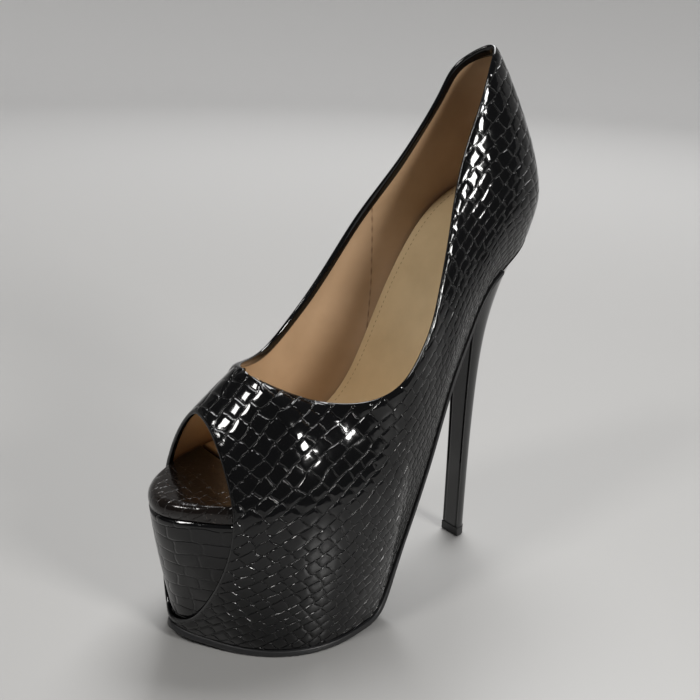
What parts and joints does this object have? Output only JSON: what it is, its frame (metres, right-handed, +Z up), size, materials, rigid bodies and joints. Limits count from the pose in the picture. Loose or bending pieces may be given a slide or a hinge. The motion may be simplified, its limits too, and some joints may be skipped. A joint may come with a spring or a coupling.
{
  "type": "peep toe platform pump",
  "caption": "Left high-heeled platform pump with an open peep toe, a deep curved collar, a wrapped platform and a tall stiletto heel.",
  "frame": {"origin": "on the floor, under the middle of the shoe's box", "axes": "+Z up, -Y towards the toe, +X towards the wearer's outer side"},
  "size_m": [0.0902, 0.2072, 0.257],
  "materials": {
    "outsole": "satin moulded sheet",
    "platform": "black croc-embossed patent, low relief",
    "insole": "black-brown wrapped toe roll over a board",
    "sock": "smooth tan lining leather, slight sheen",
    "upper": "black croc-embossed patent, tan lining inside",
    "heel": "smooth gloss black wrapped heel",
    "heel_tip": "matte black top lift"
  },
  "bodies": {
    "root": {"outsole": "outsole", "platform": "platform", "insole": "insole", "sock": "sock", "upper": "upper", "heel": "heel", "heel_tip": "heel_tip"}
  },
  "joints": []
}
